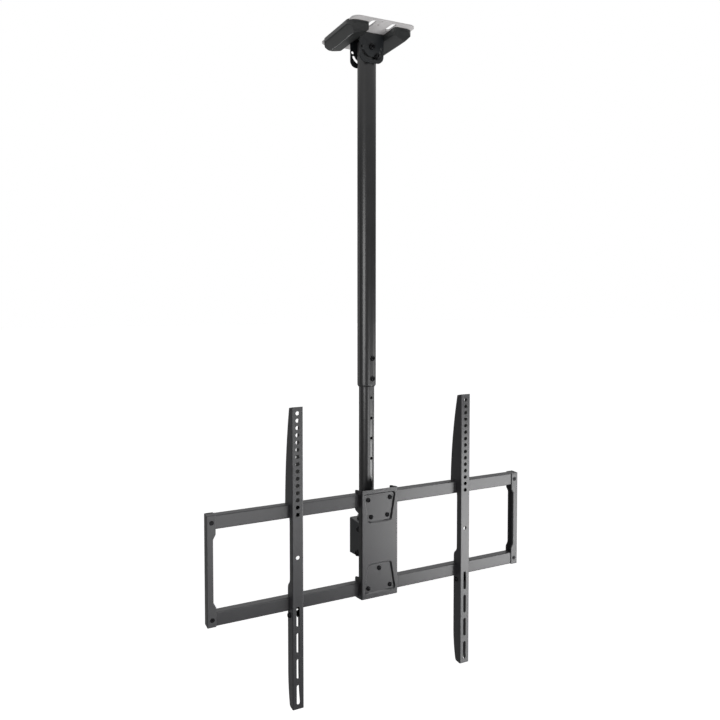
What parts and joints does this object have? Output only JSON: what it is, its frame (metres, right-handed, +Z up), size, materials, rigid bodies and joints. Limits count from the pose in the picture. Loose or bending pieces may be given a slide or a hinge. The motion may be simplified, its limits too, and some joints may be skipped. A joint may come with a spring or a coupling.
{
  "type": "tv ceiling mount",
  "caption": "Ceiling mount for a large flat screen: covered plate, telescopic pole on a tilt pivot, swivel and tilt head, rails with sliding hooked arms.",
  "frame": {"origin": "centre of the ceiling plate's upper face, on the pole's axis", "axes": "+Z up into the ceiling, -Y towards the viewer of the screen, X along the rails"},
  "size_m": [0.7636, 0.184, 1.4354],
  "materials": {
    "plate_steel": "pale grey satin coat",
    "black_coat": "satin black powder coat",
    "frame_coat": "fine-textured charcoal powder coat",
    "arm_coat": "fine-textured charcoal powder coat",
    "tube_coat": "semi-gloss black coat",
    "cover_plastic": "moulded, fine grain",
    "inner_plastic": "plain moulded",
    "black_screw": "blackened, light sheen"
  },
  "bodies": {
    "ceiling": {"ceiling_plate": "plate_steel", "pole_bracket": "black_coat", "cover_left": "cover_plastic", "cover_right": "cover_plastic", "pivot_bolt": "black_screw", "pivot_nut": "black_screw"},
    "outer_pole": {"outer_tube": "tube_coat", "pivot_spacer": "inner_plastic", "pivot_saddles": "inner_plastic", "stop_bolt": "black_screw", "stop_nut": "black_screw", "stop_washers": "black_screw", "tube_screw_bosses": "tube_coat", "tube_lock_screws": "black_screw", "tube_liner": "inner_plastic"},
    "inner_pole": {"inner_tube": "tube_coat", "inner_tube_guide": "inner_plastic", "swivel_hub": "black_coat", "hub_pin": "black_screw", "swivel_nut_washer": "black_screw", "swivel_nut": "black_screw"},
    "swivel_head": {"head_housing": "black_coat", "swivel_washer": "inner_plastic", "tilt_pivot_bolt": "black_screw", "tilt_pivot_nut": "black_screw"},
    "screen_frame": {"tilt_yoke": "black_coat", "tilt_lock_bolts": "black_screw", "tilt_lock_washers": "black_screw", "tilt_lock_nuts": "black_screw", "centre_plate": "frame_coat", "head_screws": "black_screw", "head_nuts": "black_screw", "rail_screws": "black_screw", "rail_spacers": "black_coat", "rail_nuts": "black_screw", "rail_upper": "frame_coat", "rail_lower": "frame_coat", "end_bracket_left": "frame_coat", "end_bracket_right": "frame_coat", "end_bracket_screws": "black_screw"},
    "left_arm": {"arm_left": "arm_coat", "arm_lock_screw_left": "black_screw", "arm_lock_nut_left": "black_screw"},
    "right_arm": {"arm_right": "arm_coat", "arm_lock_screw_right": "black_screw", "arm_lock_nut_right": "black_screw"}
  },
  "joints": [
    {"name": "pole_tilt", "type": "hinge", "parent": "ceiling", "child": "outer_pole", "pos_m": [0, 0, -0.034], "axis": [0, 1, 0], "range_deg": [-24, 60]},
    {"name": "pole_slide", "type": "slide", "parent": "outer_pole", "child": "inner_pole", "axis": [0, 0, -1], "range_m": [-0.18, 0.315]},
    {"name": "head_swivel", "type": "hinge", "parent": "inner_pole", "child": "swivel_head", "pos_m": [0, 0, -1.0805], "axis": [0, 0, 1], "continuous": true},
    {"name": "head_tilt", "type": "hinge", "parent": "swivel_head", "child": "screen_frame", "pos_m": [0, -0.014, -1.151], "axis": [1, 0, 0], "range_deg": [-5, 15]},
    {"name": "arm_left_slide", "type": "slide", "parent": "screen_frame", "child": "left_arm", "axis": [1, 0, 0], "range_m": [-0.15, 0.12]},
    {"name": "arm_right_slide", "type": "slide", "parent": "screen_frame", "child": "right_arm", "axis": [1, 0, 0], "range_m": [-0.155, 0.13]}
  ]
}
